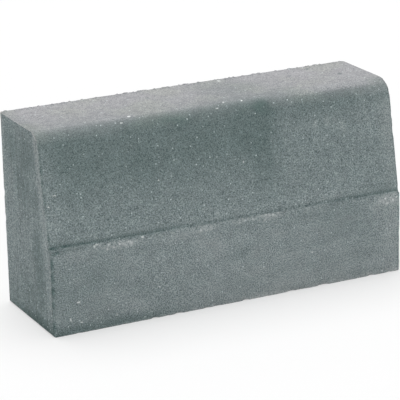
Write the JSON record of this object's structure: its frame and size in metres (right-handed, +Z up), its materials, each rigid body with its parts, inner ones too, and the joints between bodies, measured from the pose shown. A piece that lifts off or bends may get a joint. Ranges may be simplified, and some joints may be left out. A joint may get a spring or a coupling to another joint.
{
  "type": "kerb stone",
  "caption": "Precast concrete kerb stone, half-length high kerb: upright foot, pressed crease, battered front and rounded top edge, for edging a road against a raised footway",
  "frame": {"origin": "middle of the flat bed that the stone stands on, at the bottom of its bounding box", "axes": "+X runs along the kerb line, -Y faces the road (foot and batter), +Y is the plain back against the footway, +Z is up"},
  "size_m": [0.5, 0.15, 0.256],
  "materials": {
    "concrete": "bare dry-cast concrete, fine sand grain, matt, cool grey with a faint green cast"
  },
  "bodies": {
    "root": {"kerb_stone": "concrete"}
  },
  "joints": []
}
